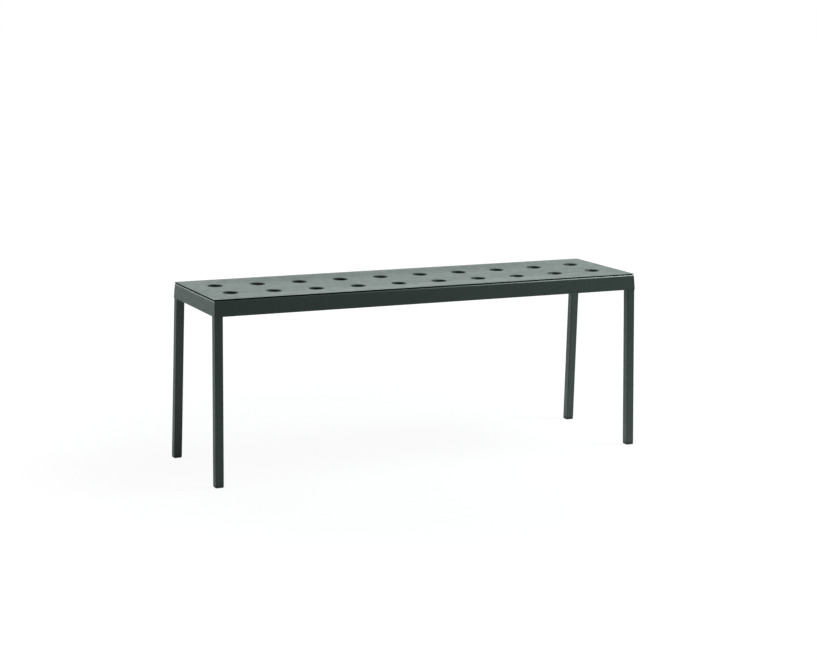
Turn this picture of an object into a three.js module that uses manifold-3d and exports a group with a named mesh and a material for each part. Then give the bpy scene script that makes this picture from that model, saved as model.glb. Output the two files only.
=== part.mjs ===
// A backless street bench of powder-coated steel: a dished seat plate with two rows of drawn holes
// lies on a folded frame that flares outwards, carried by four splayed square-tube legs.
// Millimetres. +X runs along the seat, +Y to the back, +Z up; the origin is on the floor, mid-bench.
import * as THREE from "three";
import { mergeVertices } from "three/addons/utils/BufferGeometryUtils.js";
import Module from "manifold-3d";

const wasm = await Module();
wasm.setup();

// ---- Driving dimensions ----------------------------------------------------------------------

const SEAT_HEIGHT = 450;
const GAP = 0.3; // clearance between pieces that touch or are welded on the real bench

const PLATE = { length: 1152, width: 286.6, sheet: 2, corner: 1.5 };
const DISH = { depth: 2.7, rampX: 283, rampY: 83 }; // how far the seat sinks, and over what distance
const DISH_CELLS = { x: 14, y: 6 }; // facets of the dished surface along and across the seat

const HOLE = { columns: 10, pitch: 111.6, rowSpacing: 110 };
const DRAWN_RIM = { bore: 14.2, wall: 1.8, depth: 7.2 };
// The rolled mouth of a hole; curve 1 turns it over like an ellipse and 2 cuts it as a straight cone.
const MOUTH = { width: 7, depth: 5, curve: 1.5, steps: 2 };
const HOLE_SEGMENTS = 16;
const SMALL_SEGMENTS = 16; // facets round a stud, a nut and a drilled hole

// The frame's outer faces lean: half sizes where they would meet its top, and at its lower edge.
const FRAME = {
  top: SEAT_HEIGHT - PLATE.sheet - 0.7,
  bottom: 409.6,
  halfX: { top: 575.3, bottom: 577.3 },
  halfY: { top: 146.2, bottom: 150.2 },
  sheet: 1.5,
  flange: 15,
  bend: 4,
  corner: 3,
};

const LEG = { side: 21, wall: 2, radius: 2.4, footX: 570.4, footY: 153.9 };
const SPLAY = { x: 0.01134, y: 0.03793 }; // how far a leg moves inwards for each millimetre of height
const LEG_GAP = 0.15; // the leg's top nests tightly in the folded corner of the frame

const GLIDE = { side: 20.4, height: 4.7, radius: 2.4, chamfer: 1.2, plug: 16.2, plugRadius: 1, plugTop: 22 };
const GUSSET = { thickness: 3, reach: 78, lift: 3 };
const CROSS = { width: 30, height: 22, sheet: 1.5, bend: 3, length: 288, every: 3 * HOLE.pitch };
const STUD = { radius: 3, length: 15, chamfer: 0.6, hole: 3.6 };
const NUT = { acrossFlats: 10, height: 6, flangeRadius: 7, flangeHeight: 1.2, bore: 3.3 };

// ---- Materials -------------------------------------------------------------------------------

const coatedSteel = new THREE.MeshStandardMaterial({ color: 0x36463f, roughness: 0.5, metalness: 0.1 });
const blackPlastic = new THREE.MeshStandardMaterial({ color: 0x16181a, roughness: 0.6, metalness: 0 });
const zincSteel = new THREE.MeshStandardMaterial({ color: 0xa8acae, roughness: 0.35, metalness: 0.9 });

// ---- Joining and cutting ---------------------------------------------------------------------

function solidFrom(geometry) {
  const bare = geometry.clone();
  bare.deleteAttribute("normal");
  bare.deleteAttribute("uv");
  const merged = mergeVertices(bare, 1e-4);
  const vertProperties = new Float32Array(merged.attributes.position.array);
  const triVerts = new Uint32Array(merged.index.array);
  return new wasm.Manifold(new wasm.Mesh({ numProp: 3, vertProperties, triVerts }));
}

function geometryFrom(solid) {
  const { vertProperties, triVerts } = solid.getMesh();
  const indexed = new THREE.BufferGeometry();
  indexed.setAttribute("position", new THREE.BufferAttribute(vertProperties, 3));
  indexed.setIndex(new THREE.BufferAttribute(triVerts, 1));
  const faceted = indexed.toNonIndexed();
  faceted.computeVertexNormals();
  return faceted;
}

// ---- Outlines and sweeps ---------------------------------------------------------------------

function roundedRectangle(width, depth, radius) {
  const x = width / 2 - radius;
  const y = depth / 2 - radius;
  const shape = new THREE.Shape();
  shape.absarc(x, -y, radius, -Math.PI / 2, 0, false);
  shape.absarc(x, y, radius, 0, Math.PI / 2, false);
  shape.absarc(-x, y, radius, Math.PI / 2, Math.PI, false);
  shape.absarc(-x, -y, radius, Math.PI, 1.5 * Math.PI, false);
  return shape;
}

function extrude(shape, depth, curveSegments = 4, options = {}) {
  return new THREE.ExtrudeGeometry(shape, { depth, curveSegments, bevelEnabled: false, ...options });
}

// Turns a sweep along Z into one along X, with the outline's x facing the front and its y facing up.
function layAlongX(geometry, length) {
  const front = new THREE.Vector3(0, -1, 0);
  const up = new THREE.Vector3(0, 0, 1);
  const left = new THREE.Vector3(-1, 0, 0);
  geometry.translate(0, 0, -length / 2);
  return geometry.applyMatrix4(new THREE.Matrix4().makeBasis(front, up, left));
}

// Half sizes of the frame's outer faces at a height.
function frameHalf(axis, z) {
  const half = axis === "x" ? FRAME.halfX : FRAME.halfY;
  return THREE.MathUtils.mapLinear(z, FRAME.bottom, FRAME.top, half.bottom, half.top);
}

// The space inside the frame's leaning faces, drawn in by an inset, from the lower edge to the top.
function leaningBlock(inset, cornerRadius) {
  const { bottom, top } = FRAME;
  const widest = { x: frameHalf("x", bottom) - inset, y: frameHalf("y", bottom) - inset };
  const block = extrude(roundedRectangle(2 * widest.x, 2 * widest.y, cornerRadius), top - bottom);
  block.translate(0, 0, bottom);
  const place = block.attributes.position;
  for (let i = 0; i < place.count; i++) {
    const z = place.getZ(i);
    place.setX(i, (place.getX(i) * (frameHalf("x", z) - inset)) / widest.x);
    place.setY(i, (place.getY(i) * (frameHalf("y", z) - inset)) / widest.y);
  }
  return solidFrom(block);
}

// ---- Seat plate ------------------------------------------------------------------------------

// How far the seat surface lies below its rim at a point.
function dishDepth(x, y) {
  const fromEnd = THREE.MathUtils.smoothstep(PLATE.length / 2 - Math.abs(x), 0, DISH.rampX);
  const fromSide = THREE.MathUtils.smoothstep(PLATE.width / 2 - Math.abs(y), 0, DISH.rampY);
  return DISH.depth * fromEnd * fromSide;
}

function dishedSheet() {
  const { length, width, sheet, corner } = PLATE;
  const cutter = 10; // reach of the outline above and below the rim
  const blank = new THREE.BoxGeometry(length, width, sheet, DISH_CELLS.x, DISH_CELLS.y, 1);
  const place = blank.attributes.position;
  for (let i = 0; i < place.count; i++) {
    place.setZ(i, place.getZ(i) - sheet / 2 - dishDepth(place.getX(i), place.getY(i)));
  }
  const outline = extrude(roundedRectangle(length, width, corner), 2 * cutter);
  return solidFrom(blank).intersect(solidFrom(outline.translate(0, 0, -cutter)));
}

function turned(points, segments) {
  const profile = points.map(([r, z]) => new THREE.Vector2(r, z));
  return new THREE.LatheGeometry(profile, segments).rotateX(Math.PI / 2);
}

// The metal drawn down around a hole, as a plug that the bore is then cut through.
function drawnBoss() {
  const { bore, wall, depth } = DRAWN_RIM;
  const collar = bore + wall;
  const shoulder = MOUTH.depth + wall / 2; // where the collar starts to open out towards the sheet
  const profile = [[0, -depth], [collar, -depth], [collar, -shoulder]];
  profile.push([collar + wall, -PLATE.sheet - wall / 2], [bore + MOUTH.width + wall, -PLATE.sheet / 2]);
  profile.push([0, -PLATE.sheet / 2]);
  return turned(profile, HOLE_SEGMENTS);
}

// The opening of a hole: a mouth that rolls over from the seat surface into a straight bore.
function drawnBore() {
  const { bore, depth } = DRAWN_RIM;
  const over = 1; // runs past both faces of the metal
  const profile = [[0, -depth - over], [bore, -depth - over]];
  for (let step = 0; step <= MOUTH.steps; step++) {
    const turn = ((Math.PI / 2) * step) / MOUTH.steps;
    const inwards = Math.cos(turn) ** MOUTH.curve;
    const upwards = Math.sin(turn) ** MOUTH.curve;
    profile.push([bore + MOUTH.width * (1 - inwards), MOUTH.depth * (upwards - 1)]);
  }
  profile.push([bore + MOUTH.width, over], [0, over]);
  return turned(profile, HOLE_SEGMENTS);
}

function seatPlate() {
  const boss = solidFrom(drawnBoss());
  const bore = solidFrom(drawnBore());
  let plate = dishedSheet();
  const centres = [];
  for (let column = 0; column < HOLE.columns; column++) {
    const x = (column - (HOLE.columns - 1) / 2) * HOLE.pitch;
    centres.push([x, -HOLE.rowSpacing / 2], [x, HOLE.rowSpacing / 2]);
  }
  for (const [x, y] of centres) plate = plate.add(boss.translate([x, y, -dishDepth(x, y)]));
  for (const [x, y] of centres) plate = plate.subtract(bore.translate([x, y, -dishDepth(x, y)]));
  return geometryFrom(plate);
}

// ---- Frame -----------------------------------------------------------------------------------

// Section of a rail: a flange under the seat, a bend, and a skirt that leans out by lean.
function railSection(lean) {
  const { sheet, flange, bend } = FRAME;
  const drop = FRAME.top - FRAME.bottom;
  const tilt = Math.atan2(lean, drop);
  const bendStart = bend * Math.tan((Math.PI / 2 - tilt) / 2);
  const across = sheet / Math.cos(tilt); // the sheet's thickness measured level
  const shape = new THREE.Shape();
  shape.moveTo(-flange, -sheet);
  shape.absarc(-bendStart, -bend, bend - sheet, Math.PI / 2, tilt, true);
  shape.lineTo(lean - across, -drop);
  shape.lineTo(lean, -drop);
  shape.absarc(-bendStart, -bend, bend, tilt, Math.PI / 2, false);
  shape.lineTo(-flange, 0);
  return shape;
}

// A big block whose only nearby face is the mitre plane at a corner, facing away from its normal.
function mitreBlock(normal, corner) {
  const size = 400;
  const block = new THREE.BoxGeometry(size, size, size).translate(0, 0, size / 2 - GAP / 2);
  const turn = new THREE.Quaternion().setFromUnitVectors(new THREE.Vector3(0, 0, 1), normal);
  return solidFrom(block.applyQuaternion(turn).translate(corner.x, corner.y, corner.z));
}

// The front rail, or the right one when swapped, before it is turned into its place.
function rail(swapped) {
  const along = swapped ? FRAME.halfY : FRAME.halfX;
  const outward = swapped ? FRAME.halfX : FRAME.halfY;
  const length = 2 * along.bottom + 4 * FRAME.bend;
  const section = extrude(railSection(outward.bottom - outward.top), length, 5);
  const straight = layAlongX(section, length).translate(0, -outward.top, FRAME.top);
  const upper = new THREE.Vector3(along.top, -outward.top, FRAME.top);
  const lower = new THREE.Vector3(along.bottom, -outward.bottom, FRAME.bottom);
  const normal = lower.clone().sub(upper).cross(new THREE.Vector3(-1, 1, 0)).normalize();
  if (normal.x < 0) normal.negate();
  const mirrored = (v) => new THREE.Vector3(-v.x, v.y, v.z);
  return solidFrom(straight)
    .subtract(mitreBlock(normal, upper))
    .subtract(mitreBlock(mirrored(normal), mirrored(upper)));
}

function railGeometry(swapped) {
  const envelope = leaningBlock(0, FRAME.corner);
  const shape = swapped ? rail(true).rotate([0, 0, 90]) : rail(false);
  return geometryFrom(shape.intersect(envelope));
}

// A flat triangular plate that ties a leg to the two rails near their lower edges.
function gusset() {
  const { thickness, reach, lift } = GUSSET;
  const z = FRAME.bottom + lift;
  const inset = FRAME.sheet + 2 * GAP;
  const x = frameHalf("x", z + thickness) - inset;
  const y = frameHalf("y", z + thickness) - inset;
  const legX = LEG.footX - SPLAY.x * z - LEG.side / 2 - 2 * GAP;
  const legY = LEG.footY - SPLAY.y * z - LEG.side / 2 - 2 * GAP;
  const shape = new THREE.Shape();
  shape.moveTo(x, y - reach);
  shape.lineTo(x, legY);
  shape.lineTo(legX, legY);
  shape.lineTo(legX, y);
  shape.lineTo(x - reach, y);
  return extrude(shape, thickness).translate(0, 0, z);
}

// A downward channel that spans the frame under the seat, with holes for two studs.
function crossMember() {
  const { width, height, sheet, bend, length } = CROSS;
  const side = width / 2;
  const shape = new THREE.Shape();
  shape.moveTo(-side, -height);
  shape.absarc(-side + bend, -bend, bend, Math.PI, Math.PI / 2, true);
  shape.absarc(side - bend, -bend, bend, Math.PI / 2, 0, true);
  shape.lineTo(side, -height);
  shape.lineTo(side - sheet, -height);
  shape.absarc(side - bend, -bend, bend - sheet, 0, Math.PI / 2, false);
  shape.absarc(-side + bend, -bend, bend - sheet, Math.PI / 2, Math.PI, false);
  shape.lineTo(-side + sheet, -height);
  const channel = extrude(shape, length, 3).translate(0, 0, -length / 2).rotateX(Math.PI / 2);
  const drill = new THREE.CylinderGeometry(STUD.hole, STUD.hole, 3 * bend, SMALL_SEGMENTS);
  const bore = solidFrom(drill.rotateX(Math.PI / 2));
  let solid = solidFrom(channel);
  for (const row of [-1, 1]) solid = solid.subtract(bore.translate([0, (row * HOLE.rowSpacing) / 2, 0]));
  return geometryFrom(solid);
}

// ---- Legs and feet ---------------------------------------------------------------------------

// Leans an upright piece so that it follows the leg in the back right corner.
function splayed(geometry) {
  const lean = new THREE.Matrix4().makeShear(0, 0, 0, 0, -SPLAY.x, -SPLAY.y);
  return geometry.applyMatrix4(lean).translate(LEG.footX, LEG.footY, 0);
}

function leg() {
  const { side, wall, radius } = LEG;
  const from = GLIDE.height + GAP;
  const to = FRAME.top - FRAME.bend; // it ends where the inside of the bend begins
  const outline = roundedRectangle(side, side, radius);
  outline.holes.push(roundedRectangle(side - 2 * wall, side - 2 * wall, radius - wall));
  const tube = solidFrom(splayed(extrude(outline, to - from).translate(0, 0, from)));
  // Above the frame's lower edge the outer walls are relieved to fit its leaning corner.
  const reliefCorner = 1;
  const room = leaningBlock(FRAME.sheet + LEG_GAP, reliefCorner);
  const below = new THREE.BoxGeometry(4 * LEG.footX, 4 * LEG.footY, FRAME.bottom);
  return geometryFrom(tube.intersect(room.add(solidFrom(below.translate(0, 0, FRAME.bottom / 2)))));
}

// A moulded glide: a chamfered pad under the tube with a plug that is pressed up inside it.
function footGlide() {
  const { side, height, radius, chamfer, plug, plugRadius, plugTop } = GLIDE;
  const pad = extrude(roundedRectangle(side, side, radius), height - 2 * chamfer, 4, {
    bevelEnabled: true,
    bevelThickness: chamfer,
    bevelSize: chamfer,
    bevelOffset: -chamfer,
    bevelSegments: 1,
  });
  const stem = extrude(roundedRectangle(plug, plug, plugRadius), plugTop - height / 2, 2);
  const whole = solidFrom(pad.translate(0, 0, chamfer)).add(
    solidFrom(stem.translate(0, 0, height / 2)),
  );
  return splayed(geometryFrom(whole));
}

// ---- Fasteners -------------------------------------------------------------------------------

function stud() {
  const { radius, length, chamfer } = STUD;
  const end = -length;
  const profile = [[0, end], [radius - chamfer, end], [radius, end + chamfer], [radius, 0], [0, 0]];
  return turned(profile, SMALL_SEGMENTS);
}

function flangeNut() {
  const { acrossFlats, height, flangeRadius, flangeHeight, bore } = NUT;
  const corner = acrossFlats / Math.sqrt(3);
  const hexagon = new THREE.CylinderGeometry(corner, corner, height, 6);
  const skirt = new THREE.CylinderGeometry(flangeRadius, flangeRadius, flangeHeight, SMALL_SEGMENTS);
  const drill = new THREE.CylinderGeometry(bore, bore, 3 * height, SMALL_SEGMENTS);
  const nut = solidFrom(hexagon.rotateX(Math.PI / 2).translate(0, 0, -height / 2))
    .add(solidFrom(skirt.rotateX(Math.PI / 2).translate(0, 0, -flangeHeight / 2)))
    .subtract(solidFrom(drill.rotateX(Math.PI / 2)));
  return geometryFrom(nut);
}

// ---- Assembly --------------------------------------------------------------------------------

const bench = new THREE.Group();

function addPiece(parent, name, geometry, material) {
  const piece = new THREE.Mesh(geometry, material);
  piece.name = name;
  parent.add(piece);
  return piece;
}

addPiece(bench, "seat_plate", seatPlate(), coatedSteel).position.z = SEAT_HEIGHT;

const longRail = railGeometry(false);
const endRail = railGeometry(true);
addPiece(bench, "rail_front", longRail, coatedSteel);
addPiece(bench, "rail_back", longRail, coatedSteel).rotation.z = Math.PI;
addPiece(bench, "rail_right", endRail, coatedSteel);
addPiece(bench, "rail_left", endRail, coatedSteel).rotation.z = Math.PI;

const legShape = leg();
const glideShape = footGlide();
const gussetShape = gusset();
for (const [endName, endSide] of [["left", -1], ["right", 1]]) {
  for (const [rowName, rowSide] of [["front", -1], ["back", 1]]) {
    const corner = new THREE.Group();
    corner.scale.set(endSide, rowSide, 1);
    addPiece(corner, `leg_${rowName}_${endName}`, legShape, coatedSteel);
    addPiece(corner, `foot_glide_${rowName}_${endName}`, glideShape, blackPlastic);
    addPiece(corner, `corner_gusset_${rowName}_${endName}`, gussetShape, coatedSteel);
    bench.add(corner);
  }
}

const crossTop = SEAT_HEIGHT - DISH.depth - PLATE.sheet - GAP;
const crossShape = crossMember();
const studShape = stud();
const nutShape = flangeNut();
for (const [place, step] of [["left", -1], ["centre", 0], ["right", 1]]) {
  const station = new THREE.Group();
  station.position.set(step * CROSS.every, 0, crossTop);
  addPiece(station, `cross_member_${place}`, crossShape, coatedSteel);
  for (const [rowName, rowSide] of [["front", -1], ["back", 1]]) {
    const y = (rowSide * HOLE.rowSpacing) / 2;
    addPiece(station, `seat_stud_${place}_${rowName}`, studShape, zincSteel).position.set(0, y, 0);
    const nut = addPiece(station, `stud_nut_${place}_${rowName}`, nutShape, zincSteel);
    nut.position.set(0, y, -CROSS.sheet - GAP);
  }
  bench.add(station);
}

export default bench;
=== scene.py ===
# Looks for a backless street bench of powder-coated steel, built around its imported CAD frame.
# Metres, in the frame of the CAD: +X runs along the seat, +Y to the back, +Z up from the floor.
import math

import bmesh
import bpy
from mathutils import Matrix, Vector


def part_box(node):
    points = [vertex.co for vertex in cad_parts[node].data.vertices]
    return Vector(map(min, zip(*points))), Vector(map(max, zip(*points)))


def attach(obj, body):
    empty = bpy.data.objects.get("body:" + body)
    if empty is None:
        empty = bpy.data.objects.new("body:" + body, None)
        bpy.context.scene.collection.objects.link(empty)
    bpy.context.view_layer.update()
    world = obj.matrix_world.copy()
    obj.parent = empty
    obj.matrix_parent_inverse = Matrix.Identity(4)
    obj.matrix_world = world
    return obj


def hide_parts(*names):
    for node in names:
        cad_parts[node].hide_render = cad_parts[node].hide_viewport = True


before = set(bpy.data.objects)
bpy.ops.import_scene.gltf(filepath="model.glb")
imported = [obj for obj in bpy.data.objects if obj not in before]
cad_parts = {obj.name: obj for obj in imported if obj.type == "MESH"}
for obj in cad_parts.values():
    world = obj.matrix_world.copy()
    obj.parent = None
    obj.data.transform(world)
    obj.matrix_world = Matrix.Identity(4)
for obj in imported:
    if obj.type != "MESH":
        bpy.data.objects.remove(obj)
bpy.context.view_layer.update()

MM = 0.001
ENDS = (("left", -1), ("right", 1))
ROWS = (("front", -1), ("back", 1))

# ---- Driving dimensions ----------------------------------------------------------------------

plate_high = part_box("seat_plate")[1]
front_low, front_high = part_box("rail_front")
right_low, right_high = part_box("rail_right")
stud_low, stud_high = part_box("seat_stud_right_back")
cross_low, cross_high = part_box("cross_member_right")

PLATE_SHEET = 2 * MM
PLATE_CORNER = 1.5 * MM
CUT_ROUND = 0.45 * MM  # rounding that the coating leaves on a cut edge
SEAT_TOP = plate_high.z
PLATE_HALF = Vector((plate_high.x, plate_high.y))

DISH_DEPTH = 2.7 * MM
DISH_RAMP = Vector((283 * MM, 83 * MM))  # how far in from each edge the seat keeps sinking

HOLE_COLUMNS = 10
HOLE_ROWS = 2
# The right cross member is centred three pitches out, and the back studs half a pitch back.
HOLE_PITCH = Vector(((cross_low.x + cross_high.x) / 6, stud_low.y + stud_high.y))
BORE_RADIUS = 14.2 * MM
MOUTH_WIDTH = 7 * MM  # how much wider than the bore the rolled mouth is
MOUTH_DEPTH = 5 * MM
MOUTH_CURVE = 1.5  # 1 rolls the mouth over like an ellipse, 2 cuts it as a straight cone
COLLAR_WALL = 1.8 * MM
COLLAR_DEPTH = 7.2 * MM
COLLAR_LIP = 0.4 * MM  # rounding of the collar's lower rim

RAIL_SHEET = 1.5 * MM
RAIL_FLANGE = 15 * MM
RAIL_BEND = 4 * MM
RAIL_CORNER = 3 * MM
RAIL_EDGE = 0.3 * MM  # rounding of the folded sheet's free edges
RAIL_TOP, RAIL_BOTTOM = front_high.z, front_low.z
RAIL_HALF_LOW = Vector((right_high.x, -front_low.y))
RAIL_HALF_TOP = Vector((right_low.x, -front_high.y)) + Vector((RAIL_FLANGE, RAIL_FLANGE))

LEG_SIDE = 21 * MM
LEG_WALL = 2 * MM
LEG_RADIUS = 2.4 * MM
LEG_GAP = 0.15 * MM  # the leg's top nests tightly in the folded corner of the frame
LEG_CUT = 0.35 * MM  # chamfer on the tube's cut end
LEG_STEP = 0.1 * MM  # height over which the tube narrows into the frame

GLIDE_SIDE = 20.4 * MM
GLIDE_PAD = 4.7 * MM
GLIDE_PLUG = 16.2 * MM
GLIDE_SOLE_ROUND = 1.1 * MM
GLIDE_SHOULDER_ROUND = 0.4 * MM
GLIDE_PLUG_ROUND = 1 * MM
GLIDE_PLUG_TAPER = 0.8 * MM

THREAD_PITCH = 1 * MM
THREAD_DEPTH = 0.55 * MM
STUD_CHAMFER = 0.8 * MM
STUD_CHAMFER_SLOPE = 0.7
NUT_FLATS = 10 * MM
NUT_BORE = 3.3 * MM
NUT_CHAMFER = 0.7 * MM
NUT_SKIRT = 1.2 * MM
NUT_SKIRT_ROUND = 0.2 * MM

SOFTENED_EDGE = 0.3 * MM  # rounding on the edges of the pieces that keep their CAD shape
SOFTENED_ANGLE = math.radians(40)

# The camera that sees the bench as the catalogue view does: focal length as a share of the
# picture's width, shift of the optical axis as a share of it, place in metres, turns in degrees.
CAMERA_FOCAL = 2.2672
CAMERA_SHIFT = (0.0569, 0.0055)
CAMERA_PLACE = Vector((-2.0219, -4.1723, 1.1804))
CAMERA_YAW, CAMERA_PITCH, CAMERA_ROLL = 24.388, 10.745, 0.626


# ---- Node trees ------------------------------------------------------------------------------

class Graph:
    """Short-hand for a node tree: each call adds a node, its inputs given by name or number."""

    def __init__(self, tree):
        self.tree = tree
        self.tree.nodes.clear()

    def add(self, kind, inputs=None, **settings):
        node = self.tree.nodes.new(kind)
        for key, value in settings.items():
            setattr(node, key, value)
        for key, value in (inputs or {}).items():
            self.feed(node.inputs[key], value)
        return node

    def feed(self, socket, value):
        if isinstance(value, bpy.types.Node):
            value = next(output for output in value.outputs if output.enabled)
        if isinstance(value, bpy.types.NodeSocket):
            self.tree.links.new(value, socket)
        else:
            socket.default_value = value

    def math(self, operation, a, b=0.0, clamp=False):
        return self.add("ShaderNodeMath", {0: a, 1: b}, operation=operation, use_clamp=clamp)

    def noise(self, place, scale, detail=2.0, roughness=0.5):
        inputs = {"Vector": place, "Scale": scale, "Detail": detail, "Roughness": roughness}
        return self.add("ShaderNodeTexNoise", inputs)

    def remap(self, value, low, high, to_low=0.0, to_high=1.0, smooth=True):
        inputs = {"Value": value, "From Min": low, "From Max": high}
        inputs.update({"To Min": to_low, "To Max": to_high})
        kind = "SMOOTHSTEP" if smooth else "LINEAR"
        return self.add("ShaderNodeMapRange", inputs, interpolation_type=kind)

    def blend(self, factor, colour_a, colour_b):
        node = self.add("ShaderNodeMix", data_type="RGBA")
        self.feed(node.inputs["Factor"], factor)
        self.feed(node.inputs[6], colour_a)
        self.feed(node.inputs[7], colour_b)
        return node.outputs[2]

    def bump(self, strength, distance, height):
        inputs = {"Strength": strength, "Distance": distance, "Height": height}
        return self.add("ShaderNodeBump", inputs)

    def edge_mask(self, radius, sharpness):
        """Near 1 on convex or concave edges and 0 on flat faces."""
        rounded = self.add("ShaderNodeBevel", {"Radius": radius}, samples=4)
        flat = self.add("ShaderNodeNewGeometry").outputs["Normal"]
        facing = self.add("ShaderNodeVectorMath", {0: rounded, 1: flat}, operation="DOT_PRODUCT")
        return self.remap(facing.outputs["Value"], 1.0, 1.0 - sharpness)


def new_material(name):
    material = bpy.data.materials.new(name)
    material.use_nodes = True
    return material, Graph(material.node_tree)


def finish_material(graph, base, roughness, normal, **extra):
    inputs = {"Base Color": base, "Roughness": roughness, "Normal": normal}
    inputs.update({key.replace("_", " "): value for key, value in extra.items()})
    surface = graph.add("ShaderNodeBsdfPrincipled", inputs)
    graph.add("ShaderNodeOutputMaterial", {"Surface": surface})


# ---- Materials -------------------------------------------------------------------------------

GREEN_DEEP, GREEN_LIGHT = (0.0078, 0.0162, 0.0124, 1), (0.0088, 0.0182, 0.0139, 1)
GREEN_SPECK = (0.014, 0.026, 0.021, 1)
GREEN_WORN = (0.045, 0.066, 0.057, 1)
# near black that the painted shade in gaps, holes and steep faces darkens the coat towards
GREEN_PAINTED_SHADE = (0.0008, 0.0014, 0.0012, 1)
DUST = (0.048, 0.052, 0.047, 1)
PLASTIC_DEEP, PLASTIC_LIGHT = (0.0085, 0.009, 0.0095, 1), (0.0125, 0.013, 0.0135, 1)
PLASTIC_SCUFFED = (0.055, 0.055, 0.052, 1)
ZINC_BRIGHT, ZINC_CLOUDY = (0.52, 0.54, 0.55, 1), (0.40, 0.41, 0.40, 1)
WORN_EDGE = 1 * MM
PEEL_HEIGHT = 0.06 * MM
PLASTIC_GRAIN_HEIGHT = 0.05 * MM
ZINC_MARK_HEIGHT = 0.03 * MM
SCUFF_HEIGHT = 1.6 * MM
# reach of the dust and of the painted shade in the rail and seat coats
RAIL_RECESS = 8 * MM
SEAT_RECESS = 40 * MM


def powder_coat(name, recess, dark, open_air, shade_steep_faces=False):
    """Satin dark green powder coat: fine grain, faint mottling, thin worn edges, and painted shade
    (darker colour, weaker reflection) in gaps and holes narrower than the recess size. The painted
    shade is black where no more than the dark share of the surroundings is open, and gone where the
    open_air share is. With its last argument set, painted shade also darkens the steep faces."""
    material, g = new_material(name)
    place = g.add("ShaderNodeTexCoord").outputs["Object"]
    mottle = g.noise(place, 11.0, 4.0, 0.6)
    speck = g.noise(place, 1400.0, 1.0)
    base = g.blend(g.remap(mottle, 0.35, 0.65), GREEN_DEEP, GREEN_LIGHT)
    base = g.blend(g.remap(speck, 0.55, 0.8, 0.0, 0.35), base, GREEN_SPECK)

    breakup = g.remap(g.noise(place, 160.0, 3.0, 0.6), 0.4, 0.65, 0.25, 1.0)
    edge = g.math("MULTIPLY", g.edge_mask(WORN_EDGE, 0.35), breakup)
    base = g.blend(g.math("MULTIPLY", edge, 0.35), base, GREEN_WORN)

    opening = g.add("ShaderNodeAmbientOcclusion", {"Distance": recess}, samples=8).outputs["AO"]
    dusty = g.remap(opening, 0.55, 0.15)
    dusty = g.math("MULTIPLY", dusty, g.remap(g.noise(place, 60.0, 4.0), 0.35, 0.7, 0.0, 0.08))
    base = g.blend(dusty, base, DUST)
    # Painted shade: where the occlusion finds the surroundings closed in, the colour is darkened
    # towards near black, and the reflection strength below is turned down with it.
    shade = g.remap(opening, dark, open_air)
    # Painted shade on steep faces: the steeper the face, such as a cut edge or a bore, the darker
    # its colour and the weaker its reflection.
    if shade_steep_faces:
        normal = g.add("ShaderNodeNewGeometry").outputs["Normal"]
        level = g.math("ABSOLUTE", g.add("ShaderNodeSeparateXYZ", {"Vector": normal}).outputs["Z"])
        shade = g.math("MULTIPLY", shade, g.remap(level, 0.5, 0.95))
    base = g.blend(shade, GREEN_PAINTED_SHADE, base)
    sheen = g.math("MULTIPLY", shade, 0.5)

    streak = g.noise(place, 45.0, 5.0, 0.65)
    roughness = g.remap(streak, 0.3, 0.7, 0.35, 0.41)
    roughness = g.math("ADD", roughness, g.math("MULTIPLY", dusty, 0.4), clamp=True)
    peel = g.noise(place, 520.0, 2.0, 0.45)
    grain = g.noise(place, 1900.0, 1.0)
    height = g.math("ADD", peel, g.math("MULTIPLY", grain, 0.5))
    bump = g.bump(0.35, PEEL_HEIGHT, height)
    finish_material(g, base, roughness, bump, IOR=1.5, Specular_IOR_Level=sheen)
    return material


def moulded_plastic():
    """Matte black plastic with a fine moulded grain, paler where it scuffs on the ground."""
    material, g = new_material("moulded_black_plastic")
    place = g.add("ShaderNodeTexCoord").outputs["Object"]
    height_above_floor = g.add("ShaderNodeSeparateXYZ", {"Vector": place}).outputs["Z"]
    scuff = g.remap(height_above_floor, SCUFF_HEIGHT, 0.0)
    scuff = g.math("MULTIPLY", scuff, g.remap(g.noise(place, 700.0, 3.0), 0.45, 0.65, 0.0, 0.6))
    mottle = g.remap(g.noise(place, 90.0, 3.0), 0.3, 0.7)
    base = g.blend(mottle, PLASTIC_DEEP, PLASTIC_LIGHT)
    base = g.blend(scuff, base, PLASTIC_SCUFFED)
    roughness = g.remap(g.noise(place, 300.0, 2.0), 0.3, 0.7, 0.5, 0.62)
    grain = g.noise(place, 2600.0, 2.0)
    finish_material(g, base, roughness, g.bump(0.3, PLASTIC_GRAIN_HEIGHT, grain))
    return material


def zinc_plate():
    """Bright zinc on the fasteners, with a cloudy passivated bloom and fine turning marks."""
    material, g = new_material("zinc_plate")
    place = g.add("ShaderNodeTexCoord").outputs["Object"]
    bloom = g.remap(g.noise(place, 220.0, 4.0, 0.6), 0.35, 0.7)
    base = g.blend(bloom, ZINC_BRIGHT, ZINC_CLOUDY)
    roughness = g.remap(g.noise(place, 500.0, 3.0), 0.3, 0.7, 0.28, 0.45)
    turning = {"Vector": place, "Scale": 900.0, "Distortion": 2.0}
    marks = g.add("ShaderNodeTexWave", turning, bands_direction="Z")
    finish_material(g, base, roughness, g.bump(0.15, ZINC_MARK_HEIGHT, marks), Metallic=1.0)
    return material


# Both coats paint shade into gaps and holes; the seat's copy reaches further, is stronger, and also
# paints shade on steep faces.
COATED_STEEL = powder_coat("powder_coat_green", RAIL_RECESS, 0.45, 0.85)
COATED_SEAT = powder_coat("powder_coat_green_seat", SEAT_RECESS, 0.84, 0.98, shade_steep_faces=True)
FOOT_PLASTIC = moulded_plastic()
ZINC_STEEL = zinc_plate()


# ---- Meshes ----------------------------------------------------------------------------------

WELD = 0.001 * MM
SHARP_ANGLE = math.radians(38)


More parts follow.
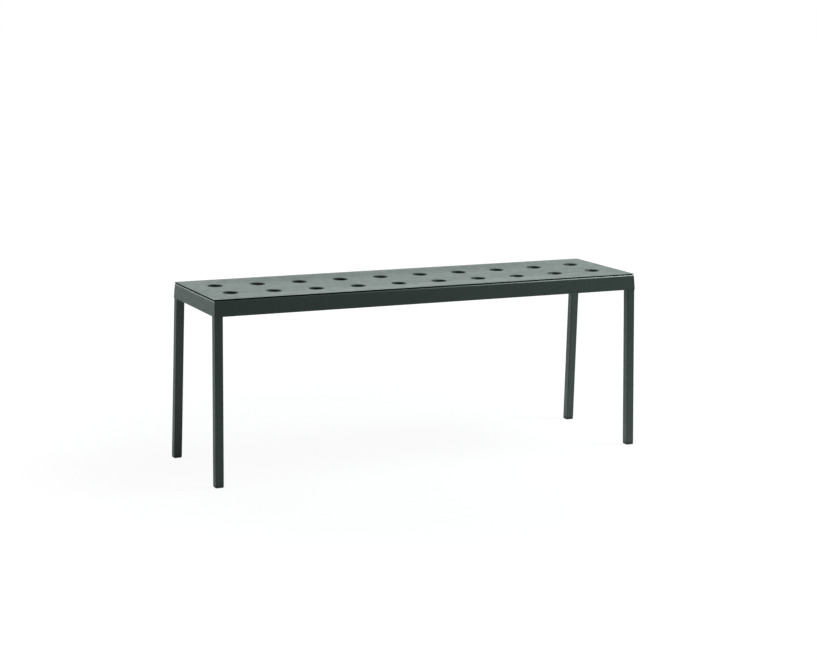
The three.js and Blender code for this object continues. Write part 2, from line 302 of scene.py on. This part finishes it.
class Shell:
    """Gathers strips and caps of points into one closed skin."""

    def __init__(self):
        self.points = []
        self.faces = []

    def strip(self, rings, around=True, along=False):
        """Quads between neighbouring rings: around closes each, along joins last to first."""
        start, count = len(self.points), len(rings[0])
        self.points.extend(point for ring in rings for point in ring)
        for i in range(len(rings) if along else len(rings) - 1):
            a, b = start + i * count, start + (i + 1) % len(rings) * count
            for j in range(count if around else count - 1):
                k = (j + 1) % count
                self.faces.append((a + j, a + k, b + k, b + j))

    def cap(self, ring):
        start = len(self.points)
        self.points.extend(ring)
        self.faces.append(tuple(range(start, start + len(ring))))

    def piece(self, name, material, slot, *stands_for):
        mesh = bpy.data.meshes.new(name)
        mesh.from_pydata(self.points, [], self.faces)
        work = bmesh.new()
        work.from_mesh(mesh)
        bmesh.ops.remove_doubles(work, verts=work.verts, dist=WELD)
        bmesh.ops.recalc_face_normals(work, faces=work.faces)
        work.to_mesh(mesh)
        work.free()
        mesh.materials.append(material)
        mesh.polygons.foreach_set("use_smooth", [True] * len(mesh.polygons))
        mesh.set_sharp_from_angle(angle=SHARP_ANGLE)
        piece = bpy.data.objects.new(name, mesh)
        bpy.context.scene.collection.objects.link(piece)
        even_shading(piece)
        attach(piece, "root")
        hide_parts(*stands_for)
        return piece


def even_shading(piece):
    """Keeps flat faces flat beside their rounded edges."""
    piece.modifiers.new("even_shading", "WEIGHTED_NORMAL").keep_sharp = True


def arc(centre_a, centre_b, radius, start, end, steps):
    """Points of an arc in a plane, angles in degrees."""
    turns = [math.radians(start + (end - start) * i / steps) for i in range(steps + 1)]
    return [(centre_a + radius * math.cos(t), centre_b + radius * math.sin(t)) for t in turns]


def rounded_ring(half_x, half_y, radius, z, steps=6, spans=(1, 1)):
    """A level loop round a rounded rectangle, anticlockwise from its right side."""
    ring = []
    corners = ((1, 1, 0), (-1, 1, 90), (-1, -1, 180), (1, -1, 270))
    for index, (side_x, side_y, start) in enumerate(corners):
        centre = (side_x * (half_x - radius), side_y * (half_y - radius))
        turn = arc(*centre, radius, start, start + 90, steps)
        ring.extend(Vector((x, y, z)) for x, y in turn)
        next_x, next_y, next_start = corners[(index + 1) % 4]
        next_centre = (next_x * (half_x - radius), next_y * (half_y - radius))
        following = arc(*next_centre, radius, next_start, next_start, 1)
        here, there = Vector((*turn[-1], z)), Vector((*following[0], z))
        parts = spans[index % 2]
        ring.extend(here.lerp(there, i / parts) for i in range(1, parts))
    return ring


# ---- Seat plate ------------------------------------------------------------------------------

CELL_STEPS = 12
CORNER_STEPS = 3
MOUTH_STEPS = 10
FLARE_STEPS = 5
SURFACE_SHARES = (0, 0.1, 0.22, 0.35, 0.48, 0.61, 0.73, 0.84, 0.93, 1)


def smoothstep(value):
    value = min(max(value, 0.0), 1.0)
    return value * value * (3 - 2 * value)


def dish(x, y):
    """How far the seat lies below its rim at a point."""
    from_end = smoothstep((PLATE_HALF.x - abs(x)) / DISH_RAMP.x)
    from_side = smoothstep((PLATE_HALF.y - abs(y)) / DISH_RAMP.y)
    return DISH_DEPTH * from_end * from_side


def plate_outline(x, y):
    """Moves a point of the plate's inner border to its rounded outline; gives the way out too."""
    radius = PLATE_CORNER - CUT_ROUND
    centre = Vector((PLATE_HALF.x - PLATE_CORNER, PLATE_HALF.y - PLATE_CORNER))
    over_x, over_y = (abs(x) - centre.x) / radius, (abs(y) - centre.y) / radius
    if over_x <= 0 or over_y <= 0:
        along_x, along_y = Vector((math.copysign(1, x), 0)), Vector((0, math.copysign(1, y)))
        return Vector((x, y)), along_x if over_x > over_y else along_y
    turn = math.radians(45 * (over_y if over_x >= over_y else 2 - over_x))
    out = Vector((math.copysign(math.cos(turn), x), math.copysign(math.sin(turn), y)))
    corner = Vector((math.copysign(centre.x, x), math.copysign(centre.y, y)))
    return corner + radius * out, out


def divisions(count, pitch, edge):
    """For each cell along one axis, its hole's centre and the places that divide its sides."""
    cells = []
    for index in range(count):
        centre = (index - (count - 1) / 2) * pitch
        low = -edge if index == 0 else centre - pitch / 2
        high = edge if index == count - 1 else centre + pitch / 2
        places = [low + (high - low) * i / CELL_STEPS for i in range(CELL_STEPS + 1)]
        round_step = (PLATE_CORNER - CUT_ROUND) / CORNER_STEPS
        if index == 0:
            places.extend(low + round_step * i for i in range(1, CORNER_STEPS + 1))
        if index == count - 1:
            places.extend(high - round_step * i for i in range(1, CORNER_STEPS + 1))
        cells.append((centre, sorted(places)))
    return cells


def hole_profile():
    """Radius and height round a drawn hole, from the seat down the bore and up the collar."""
    profile = []
    for i in range(1, MOUTH_STEPS + 1):
        turn = math.radians(90 - 90 * i / MOUTH_STEPS)
        inwards, upwards = math.cos(turn) ** MOUTH_CURVE, math.sin(turn) ** MOUTH_CURVE
        profile.append((BORE_RADIUS + MOUTH_WIDTH * (1 - inwards), MOUTH_DEPTH * (upwards - 1)))
    lip, outer = COLLAR_LIP, BORE_RADIUS + COLLAR_WALL
    profile.extend(arc(BORE_RADIUS + lip, -COLLAR_DEPTH + lip, lip, 180, 270, 3))
    profile.extend(arc(outer - lip, -COLLAR_DEPTH + lip, lip, 270, 360, 3))
    spread = MOUTH_WIDTH - COLLAR_WALL / 2  # the collar opens out to meet the sheet's underside
    drop = MOUTH_DEPTH - COLLAR_WALL / 2
    for i in range(FLARE_STEPS + 1):
        turn = math.radians(90 * i / FLARE_STEPS)
        out, down = spread * (1 - math.cos(turn)), drop * (1 - math.sin(turn))
        profile.append((outer + out, -PLATE_SHEET - down))
    return profile


def cut_edge_profile():
    """Outward offset and height round the plate's cut edge, from the top face to the underside."""
    top = arc(0, -CUT_ROUND, CUT_ROUND, 90, 0, 3)
    return top + [(out, -PLATE_SHEET - z) for out, z in reversed(top)]


def seat_point(x, y, z):
    return Vector((x, y, SEAT_TOP + z - dish(x, y)))


def add_seat_cell(shell, hole_x, across_x, hole_y, across_y):
    """One rectangle of the plate with its hole, both faces, and any stretch of the plate's edge."""
    left, right, near, far = across_x[0], across_x[-1], across_y[0], across_y[-1]
    border = [(x, near) for x in across_x[:-1]] + [(right, y) for y in across_y[:-1]]
    border += [(x, far) for x in across_x[:0:-1]] + [(left, y) for y in across_y[:0:-1]]
    outline = [plate_outline(x, y) for x, y in border]
    hole = Vector((hole_x, hole_y))
    spokes = [(point - hole).normalized() for point, _ in outline]
    mouth = BORE_RADIUS + MOUTH_WIDTH
    collar = hole_profile()[-1][0]

    def surface(radius, z):
        """Rings from the border in to a circle round the hole."""
        return [
            [seat_point(*point.lerp(hole + spoke * radius, share), z)
             for (point, _), spoke in zip(outline, spokes)]
            for share in SURFACE_SHARES
        ]

    rings = surface(mouth, 0)
    for radius, z in hole_profile():
        rings.append([seat_point(*(hole + spoke * radius), z) for spoke in spokes])
    rings.extend(reversed(surface(collar, -PLATE_SHEET)))
    shell.strip(rings)

    edge = PLATE_HALF - Vector((CUT_ROUND, CUT_ROUND))
    for i, (start, end) in enumerate(zip(border, border[1:] + border[:1])):
        on_edge = (min(abs(start[axis]), abs(end[axis])) > edge[axis] - WELD for axis in (0, 1))
        if any(on_edge):
            pair = (outline[i], outline[(i + 1) % len(outline)])
            rings = [
                [seat_point(*(point + outwards * out), z) for point, outwards in pair]
                for out, z in cut_edge_profile()
            ]
            shell.strip(rings, around=False)


def seat_plate():
    """The dished plate with two rows of drawn holes."""
    shell = Shell()
    for hole_x, across_x in divisions(HOLE_COLUMNS, HOLE_PITCH.x, PLATE_HALF.x - CUT_ROUND):
        for hole_y, across_y in divisions(HOLE_ROWS, HOLE_PITCH.y, PLATE_HALF.y - CUT_ROUND):
            add_seat_cell(shell, hole_x, across_x, hole_y, across_y)
    shell.piece("dished_seat", COATED_SEAT, "coated_steel", "seat_plate")


# ---- Frame -----------------------------------------------------------------------------------

CORNER_PARTS = 8
SIDE_PARTS = (12, 4)  # along the front and back rails, and along the left and right ones


def frame_half(z):
    """Half sizes of the frame's outer faces at a height."""
    return RAIL_HALF_LOW.lerp(RAIL_HALF_TOP, (z - RAIL_BOTTOM) / (RAIL_TOP - RAIL_BOTTOM))


def rail_profile():
    """Inset and height round a rail's folded section: skirt, bend and flange."""
    edge = RAIL_EDGE
    inner = RAIL_BEND - RAIL_SHEET
    under = RAIL_TOP - RAIL_SHEET
    profile = arc(RAIL_BEND, RAIL_TOP - RAIL_BEND, RAIL_BEND, 180, 90, 8)
    profile += arc(RAIL_FLANGE - edge, RAIL_TOP - edge, edge, 90, 0, 2)
    profile += arc(RAIL_FLANGE - edge, under + edge, edge, 0, -90, 2)
    profile += arc(RAIL_BEND, under - inner, inner, 90, 180, 6)
    profile += arc(RAIL_SHEET - edge, RAIL_BOTTOM + edge, edge, 0, -90, 2)
    profile += arc(edge, RAIL_BOTTOM + edge, edge, -90, -180, 2)
    return profile


def welded_frame():
    """The four folded rails, welded at the corners and ground smooth under the coat."""
    rings = []
    for inset, z in rail_profile():
        half = frame_half(z) - Vector((inset, inset))
        radius = max(RAIL_CORNER - inset, RAIL_EDGE)
        rings.append(rounded_ring(half.x, half.y, radius, z, CORNER_PARTS, SIDE_PARTS))
    shell = Shell()
    shell.strip(rings, along=True)
    nodes = ["rail_front", "rail_back", "rail_left", "rail_right"]
    shell.piece("welded_frame", COATED_STEEL, "coated_steel", *nodes)


# ---- Legs and feet ---------------------------------------------------------------------------

def leg_lean(node):
    """How far a leg moves inwards for each metre of height, found from the space it takes."""
    low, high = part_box(node)
    size = high - low
    return Vector(((size.x - LEG_SIDE) / size.z, (size.y - LEG_SIDE) / size.z))


def leg_and_foot(row, side_y, end, side_x):
    """A splayed square tube and the glide plugged into its lower end."""
    node = f"leg_{row}_{end}"
    low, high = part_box(node)
    glide_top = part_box(f"foot_glide_{row}_{end}")[1].z
    lean = leg_lean(node)
    outwards = Vector((side_x * lean.x, side_y * lean.y))
    foot = Vector((side_x * abs(low.x + high.x) / 2, side_y * abs(low.y + high.y) / 2))
    foot += outwards * (low.z + high.z) / 2

    def centre(z):
        return foot - outwards * z

    def ring(half, radius, z):
        """A loop of the tube at a height, kept inside the frame's leaning faces at the top."""
        middle = centre(z)
        room = frame_half(z) - Vector((1, 1)) * (RAIL_SHEET + LEG_GAP)
        points = []
        for point in rounded_ring(half, half, radius, z):
            x, y = point.x + middle.x, point.y + middle.y
            if z >= RAIL_BOTTOM:
                x = math.copysign(min(abs(x), room.x), x)
                y = math.copysign(min(abs(y), room.y), y)
            points.append(Vector((x, y, z)))
        return points

    half, bore = LEG_SIDE / 2, LEG_SIDE / 2 - LEG_WALL
    tube = Shell()
    levels = [low.z + LEG_CUT, RAIL_BOTTOM - LEG_STEP, RAIL_BOTTOM, high.z]
    rings = [ring(half - LEG_CUT, LEG_RADIUS - LEG_CUT, low.z)]
    rings += [ring(half, LEG_RADIUS, z) for z in levels]
    rings += [ring(bore, LEG_RADIUS - LEG_WALL, z) for z in (high.z, RAIL_BOTTOM, low.z)]
    tube.strip(rings, along=True)
    tube.piece(f"leg_tube_{row}_{end}", COATED_STEEL, "coated_steel", node)

    pad, plug = GLIDE_SIDE / 2, GLIDE_PLUG / 2
    sole, shoulder = GLIDE_SOLE_ROUND, GLIDE_SHOULDER_ROUND
    glide = Shell()
    outline = [(-sole + out, z) for out, z in arc(0, sole, sole, -90, 0, 4)]
    outline += [(-shoulder + out, z) for out, z in arc(0, GLIDE_PAD - shoulder, shoulder, 0, 90, 3)]
    rings = [ring(pad + inset, LEG_RADIUS + inset, z) for inset, z in outline]
    rings += [ring(plug, GLIDE_PLUG_ROUND, z) for z in (GLIDE_PAD, glide_top - GLIDE_PLUG_ROUND)]
    rings += [ring(plug - GLIDE_PLUG_TAPER, GLIDE_PLUG_ROUND / 2, glide_top)]
    glide.strip(rings)
    glide.cap(rings[0][::-1])
    glide.cap(rings[-1])
    glide.piece(f"foot_pad_{row}_{end}", FOOT_PLASTIC, "foot_plastic", f"foot_glide_{row}_{end}")


# ---- Under the seat --------------------------------------------------------------------------

STUD_SIDES = 20
STUD_LEVELS_PER_TURN = 6
NUT_SIDES = 48


def finish_cad_steel(node):
    """A sheet-metal piece whose CAD shape is right: it gets softened edges and the coating."""
    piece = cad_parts[node]
    piece.data.materials.clear()
    piece.data.materials.append(COATED_STEEL)
    piece.modifiers.new("weld", "WELD").merge_threshold = WELD
    bevel = piece.modifiers.new("softened_edges", "BEVEL")
    bevel.width = SOFTENED_EDGE
    bevel.segments = 2
    bevel.limit_method = "ANGLE"
    bevel.angle_limit = SOFTENED_ANGLE
    even_shading(piece)


def threaded_stud(place, row):
    """A stud with a rolled thread, welded to the plate's underside."""
    node = f"seat_stud_{place}_{row}"
    low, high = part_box(node)
    centre, radius = (low + high) / 2, (high.x - low.x) / 2

    def thread_ring(z):
        points = []
        for i in range(STUD_SIDES):
            share = i / STUD_SIDES
            phase = ((z - low.z) / THREAD_PITCH - share) % 1
            groove = THREAD_DEPTH * (1 - abs(2 * phase - 1))
            taper = max(0.0, STUD_CHAMFER - (z - low.z)) * STUD_CHAMFER_SLOPE
            r = radius - max(groove, taper)
            turn = 2 * math.pi * share
            points.append(Vector((centre.x + r * math.cos(turn), centre.y + r * math.sin(turn), z)))
        return points

    levels = round((high.z - low.z) / THREAD_PITCH * STUD_LEVELS_PER_TURN)
    rings = [thread_ring(low.z + (high.z - low.z) * i / levels) for i in range(levels + 1)]
    shell = Shell()
    shell.strip(rings)
    shell.cap(rings[0][::-1])
    shell.cap(rings[-1])
    shell.piece(f"threaded_stud_{place}_{row}", ZINC_STEEL, "zinc_steel", node)


def flanged_nut(place, row):
    """A hexagon nut with a round flange, its corners chamfered and its bore open."""
    node = f"stud_nut_{place}_{row}"
    low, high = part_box(node)
    centre, flange = (low + high) / 2, (high.x - low.x) / 2
    corner, chamfer, soft = NUT_FLATS / math.sqrt(3), NUT_CHAMFER, NUT_SKIRT_ROUND

    def ring(z, limit, hexagon=True):
        points = []
        for i in range(NUT_SIDES):
            turn = 2 * math.pi * i / NUT_SIDES
            offset = (turn + math.pi / 6) % (math.pi / 3) - math.pi / 6
            flats = NUT_FLATS / 2 / math.cos(offset)
            r = min(flats, limit) if hexagon else limit
            points.append(Vector((centre.x + r * math.cos(turn), centre.y + r * math.sin(turn), z)))
        return points

    skirt = high.z - NUT_SKIRT
    rings = [ring(low.z + chamfer, NUT_BORE, False), ring(low.z, NUT_BORE + 2.5 * soft, False)]
    rings += [ring(low.z, corner - chamfer), ring(low.z + chamfer / 2, corner)]
    rings += [ring(skirt - 2 * soft, corner), ring(skirt, corner + soft, False)]
    rings += [ring(skirt + 1.5 * soft, flange, False), ring(high.z - soft, flange, False)]
    rings += [ring(high.z, flange - soft, False), ring(high.z, NUT_BORE, False)]
    shell = Shell()
    shell.strip(rings, along=True)
    shell.piece(f"flanged_nut_{place}_{row}", ZINC_STEEL, "zinc_steel", node)


# ---- Studio ----------------------------------------------------------------------------------

ROOM_LEVEL = 0.44
# For each glow: its turn from the back towards the right, its strength, and how flat it is.
HORIZON_GLOWS = ((-45, 3.45, 2.2), (0, 0.62, 1.5), (45, 0.70, 1.5))
GLOW_REACH = (52, 15)  # degrees from a glow's middle to where it ends, and to where it is full
LIGHT_TARGET = Vector((0, 0, SEAT_TOP))
LIGHT_COLOUR = (0.88, 1.0, 0.97)
FLOOR_SHADOW = 0.08  # share of the real light and shade that the camera sees on the floor
FLOOR_FADE = (0.6, 1.4)  # distance from the bench's middle over which the floor burns out to white
FLOOR_RADIUS = 40
FLOOR_SIDES = 64
FLOOR_DROP = 0.1 * MM  # keeps the floor clear of the glides' soles


def studio_world():
    """A pale room, brightest low down behind and to the left; the camera sees plain white."""
    world = bpy.data.worlds.new("studio")
    bpy.context.scene.world = world
    world.use_nodes = True
    g = Graph(world.node_tree)
    direction = g.add("ShaderNodeTexCoord").outputs["Generated"]
    wide, core = (math.cos(math.radians(angle)) for angle in GLOW_REACH)
    level = ROOM_LEVEL
    for turn, strength, flatness in HORIZON_GLOWS:
        squash = {0: direction, 1: (1, 1, flatness)}
        flattened = g.add("ShaderNodeVectorMath", squash, operation="MULTIPLY")
        flattened = g.add("ShaderNodeVectorMath", {0: flattened}, operation="NORMALIZE")
        turn = math.radians(turn)
        towards = (math.sin(turn), math.cos(turn), 0)
        facing = g.add("ShaderNodeVectorMath", {0: flattened, 1: towards}, operation="DOT_PRODUCT")
        level = g.math("ADD", level, g.remap(facing.outputs["Value"], wide, core, 0.0, strength))
    seen = g.add("ShaderNodeLightPath").outputs["Is Camera Ray"]
    strength = g.add("ShaderNodeMix", {"Factor": seen, "A": level, "B": 1.0})
    colour = g.blend(seen, (*LIGHT_COLOUR, 1), (1, 1, 1, 1))
    background = g.add("ShaderNodeBackground", {"Color": colour, "Strength": strength})
    g.add("ShaderNodeOutputWorld", {"Surface": background})


def softbox(name, place, size, brightness):
    """A square light that faces the bench; brightness is its face's, with white paper at 1."""
    light = bpy.data.lights.new(name, "AREA")
    light.shape = "SQUARE"
    light.size = size
    light.energy = brightness * math.pi * size * size
    light.color = LIGHT_COLOUR
    lamp = bpy.data.objects.new(name, light)
    lamp.location = place
    lamp.rotation_mode = "QUATERNION"
    lamp.rotation_quaternion = (LIGHT_TARGET - lamp.location).to_track_quat("-Z", "Y")
    bpy.context.scene.collection.objects.link(lamp)


def studio_floor():
    """A wide pale floor that lights the bench from below and burns out to white further off."""
    mesh = bpy.data.meshes.new("studio_floor")
    ring = arc(0, 0, FLOOR_RADIUS, 0, 360 - 360 / FLOOR_SIDES, FLOOR_SIDES - 1)
    mesh.from_pydata([(x, y, -FLOOR_DROP) for x, y in ring], [], [tuple(range(len(ring)))])
    floor = bpy.data.objects.new("studio_floor", mesh)
    bpy.context.scene.collection.objects.link(floor)
    material, g = new_material("pale_floor")
    place = g.add("ShaderNodeTexCoord").outputs["Object"]
    seen = g.add("ShaderNodeLightPath").outputs["Is Camera Ray"]
    tone = g.remap(g.noise(place, 3.0, 3.0), 0.0, 1.0, 0.90, 0.92)
    shown = g.math("MULTIPLY", tone, g.remap(seen, 0.0, 1.0, 1.0, FLOOR_SHADOW, smooth=False))
    colour = g.add("ShaderNodeCombineColor", {"Red": shown, "Green": shown, "Blue": shown})
    diffuse = g.add("ShaderNodeBsdfDiffuse", {"Color": colour})
    distance = g.add("ShaderNodeVectorMath", {0: place}, operation="LENGTH").outputs["Value"]
    white = g.remap(distance, *FLOOR_FADE, 1 - FLOOR_SHADOW, 1.0)
    lift = g.add("ShaderNodeEmission", {"Strength": g.math("MULTIPLY", seen, white)})
    surface = g.add("ShaderNodeAddShader", {0: diffuse, 1: lift})
    from_below = g.add("ShaderNodeNewGeometry").outputs["Backfacing"]
    clear = g.add("ShaderNodeBsdfTransparent")
    surface = g.add("ShaderNodeMixShader", {0: from_below, 1: surface, 2: clear})
    g.add("ShaderNodeOutputMaterial", {"Surface": surface})
    mesh.materials.append(material)


def catalogue_camera():
    camera = bpy.data.cameras.new("catalogue_camera")
    camera.lens = CAMERA_FOCAL * camera.sensor_width
    camera.shift_x, camera.shift_y = CAMERA_SHIFT
    yaw, pitch, roll = (math.radians(angle) for angle in (CAMERA_YAW, CAMERA_PITCH, CAMERA_ROLL))
    level = math.cos(pitch)
    ahead = Vector((math.sin(yaw) * level, math.cos(yaw) * level, -math.sin(pitch)))
    right = Vector((math.cos(yaw), -math.sin(yaw), 0))
    up = right.cross(ahead)
    right, up = (
        math.cos(roll) * right + math.sin(roll) * up,
        math.cos(roll) * up - math.sin(roll) * right,
    )
    holder = bpy.data.objects.new("catalogue_camera", camera)
    turned = Matrix((right, up, -ahead)).transposed().to_4x4()
    holder.matrix_world = Matrix.Translation(CAMERA_PLACE) @ turned
    bpy.context.scene.collection.objects.link(holder)
    bpy.context.scene.camera = holder


# ---- Assembly --------------------------------------------------------------------------------

seat_plate()
welded_frame()
for end_name, end_side in ENDS:
    for row_name, row_side in ROWS:
        leg_and_foot(row_name, row_side, end_name, end_side)
        finish_cad_steel(f"corner_gusset_{row_name}_{end_name}")
for station in ("left", "centre", "right"):
    finish_cad_steel(f"cross_member_{station}")
    for row_name, _ in ROWS:
        threaded_stud(station, row_name)
        flanged_nut(station, row_name)

studio_world()
studio_floor()
softbox("softbox_overhead_right", (1.38, -0.34, 1.68), 0.8, 20.5)
softbox("softbox_front_right", (2.4, -2.0, 1.0), 1.6, 0.5)
catalogue_camera()
bpy.context.scene.view_settings.view_transform = "Standard"
